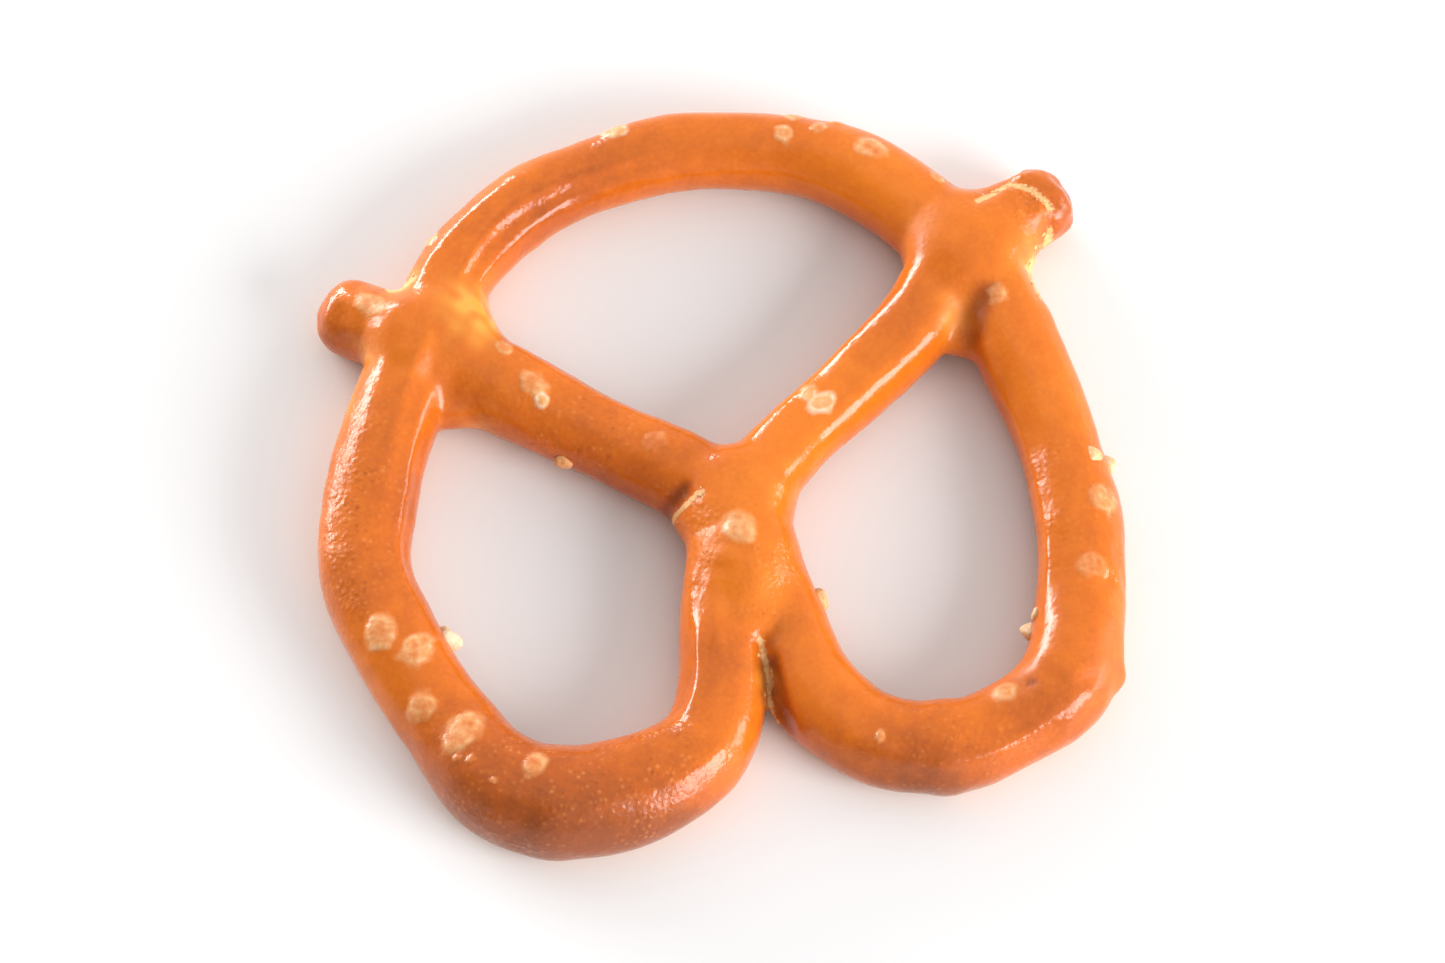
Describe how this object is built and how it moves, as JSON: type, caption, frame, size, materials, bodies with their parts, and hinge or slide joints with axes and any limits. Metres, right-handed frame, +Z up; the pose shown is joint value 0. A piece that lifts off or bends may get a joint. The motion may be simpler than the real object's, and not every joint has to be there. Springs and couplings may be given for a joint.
{
  "type": "salted pretzel twist",
  "caption": "Small hard-baked pretzel twist of round dough rope, flat underneath, with coarse salt on its glossy crust.",
  "frame": {"origin": "middle of the outline, on the surface that the pretzel lies on", "axes": "+Z up from the flat underside, +Y from the two lobes towards the arch, +X to the right seen from above"},
  "size_m": [0.0484, 0.0485, 0.0062],
  "materials": {
    "crust": "glossy lye-browned crust, orange-brown on top and matt brown underneath, with coarse tan-white salt"
  },
  "bodies": {
    "root": {"pretzel": "crust"}
  },
  "joints": []
}
